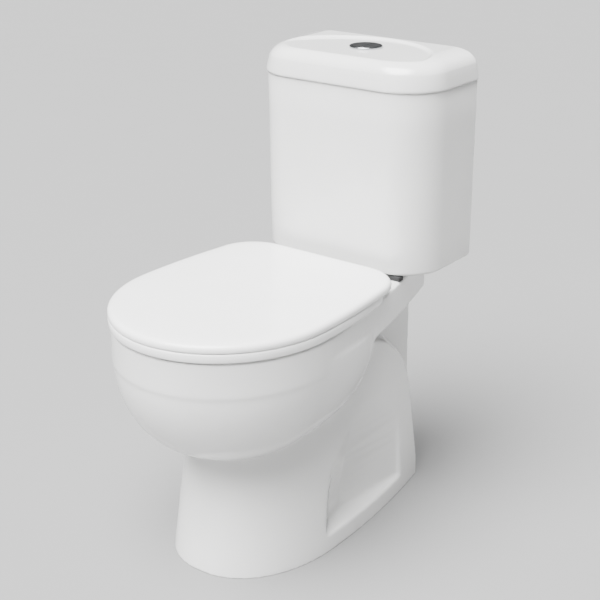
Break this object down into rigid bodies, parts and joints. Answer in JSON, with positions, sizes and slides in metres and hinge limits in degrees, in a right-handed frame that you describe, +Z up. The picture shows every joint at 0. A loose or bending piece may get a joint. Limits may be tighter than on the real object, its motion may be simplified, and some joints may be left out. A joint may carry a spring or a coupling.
{
  "type": "close coupled toilet",
  "caption": "Close coupled toilet with an egg shaped bowl on a sculpted pedestal, a cistern with a domed lid and dual flush button, and a hinged ring and cover seat.",
  "frame": {"origin": "centre of the bounding box's base, on the finished floor", "axes": "+Z up, +Y towards the wall behind the cistern, -Y to the front of the bowl, +X to the right of someone facing the toilet"},
  "size_m": [0.3598, 0.625, 0.7709],
  "materials": {
    "china": "glossy white glaze",
    "seat_plastic": "smooth moulded",
    "chrome": "bright plate",
    "white_plastic": "moulded",
    "grey_plastic": "moulded",
    "blue_plastic": "moulded",
    "rubber": "matt black",
    "brass": "plain",
    "zinc_steel": "zinc plated"
  },
  "bodies": {
    "fixed": {"pan": "china", "pedestal": "china", "trapway": "china", "cistern_tank": "china", "tank_cushion": "rubber", "doughnut_washer": "rubber", "flush_valve_backnut": "white_plastic", "flush_base_washer": "rubber", "flush_valve_base": "white_plastic", "flush_valve_cage": "white_plastic", "fill_valve_body": "white_plastic", "fill_valve_cap": "grey_plastic", "fill_valve_washer": "rubber", "fill_valve_nut": "white_plastic", "coupling_bolt_left": "brass", "coupling_bolt_right": "brass", "bolt_rubber_left": "rubber", "bolt_rubber_right": "rubber", "bolt_washer_left": "zinc_steel", "bolt_washer_right": "zinc_steel", "wing_nut_left": "brass", "wing_nut_right": "brass", "hinge_post_left": "chrome", "hinge_post_right": "chrome", "hinge_pin_left": "zinc_steel", "hinge_pin_right": "zinc_steel", "hinge_washer_left": "rubber", "hinge_washer_right": "rubber", "hinge_nut_left": "white_plastic", "hinge_nut_right": "white_plastic", "floor_bracket_left": "zinc_steel", "floor_bracket_right": "zinc_steel", "floor_screw_left": "zinc_steel", "floor_screw_right": "zinc_steel"},
    "lid": {"cistern_lid": "china", "button_bezel": "chrome", "bezel_nut": "white_plastic", "full_button_spring": "zinc_steel", "half_button_spring": "zinc_steel"},
    "full_button": {"full_flush_button": "chrome", "full_push_rod": "white_plastic"},
    "half_button": {"half_flush_button": "chrome", "half_push_rod": "white_plastic"},
    "ring": {"seat_ring": "seat_plastic", "ring_buffer_front_left": "rubber", "ring_buffer_front_right": "rubber", "ring_buffer_rear_left": "rubber", "ring_buffer_rear_right": "rubber"},
    "cover": {"seat_cover": "seat_plastic", "cover_buffer_left": "rubber", "cover_buffer_right": "rubber"},
    "valve_core": {"overflow_tube": "blue_plastic", "valve_seal": "rubber"},
    "float": {"float_arm": "grey_plastic", "adjuster_rod": "blue_plastic", "float_cup": "blue_plastic"}
  },
  "joints": [
    {"name": "seat_ring_hinge", "type": "hinge", "parent": "fixed", "child": "ring", "pos_m": [0, 0.1115, 0.423], "axis": [-1, 0, 0], "range_deg": [0, 90]},
    {"name": "seat_cover_hinge", "type": "hinge", "parent": "ring", "child": "cover", "pos_m": [0, 0.1115, 0.423], "axis": [1, 0, 0], "range_deg": [-90, 0]},
    {"name": "cistern_lid_lift", "type": "slide", "parent": "fixed", "child": "lid", "axis": [0, 0, 1], "range_m": [0, 0.12]},
    {"name": "full_flush_press", "type": "slide", "parent": "lid", "child": "full_button", "axis": [0, 0, -1], "range_m": [0, 0.007], "stiffness_N_per_m": 200, "springref_m": -0.01, "deforming": ["full_button_spring"]},
    {"name": "half_flush_press", "type": "slide", "parent": "lid", "child": "half_button", "axis": [0, 0, -1], "range_m": [0, 0.007], "stiffness_N_per_m": 200, "springref_m": -0.01, "deforming": ["half_button_spring"]},
    {"name": "valve_lift", "type": "slide", "parent": "fixed", "child": "valve_core", "axis": [0, 0, 1], "range_m": [0, 0.0176]},
    {"name": "float_rise", "type": "hinge", "parent": "fixed", "child": "float", "pos_m": [-0.104, 0.2275, 0.652], "axis": [0, -1, 0], "range_deg": [0, 12]}
  ],
  "couplings": [
    {"joint": "valve_lift", "follows": "full_flush_press", "ratio": 2.5}
  ]
}
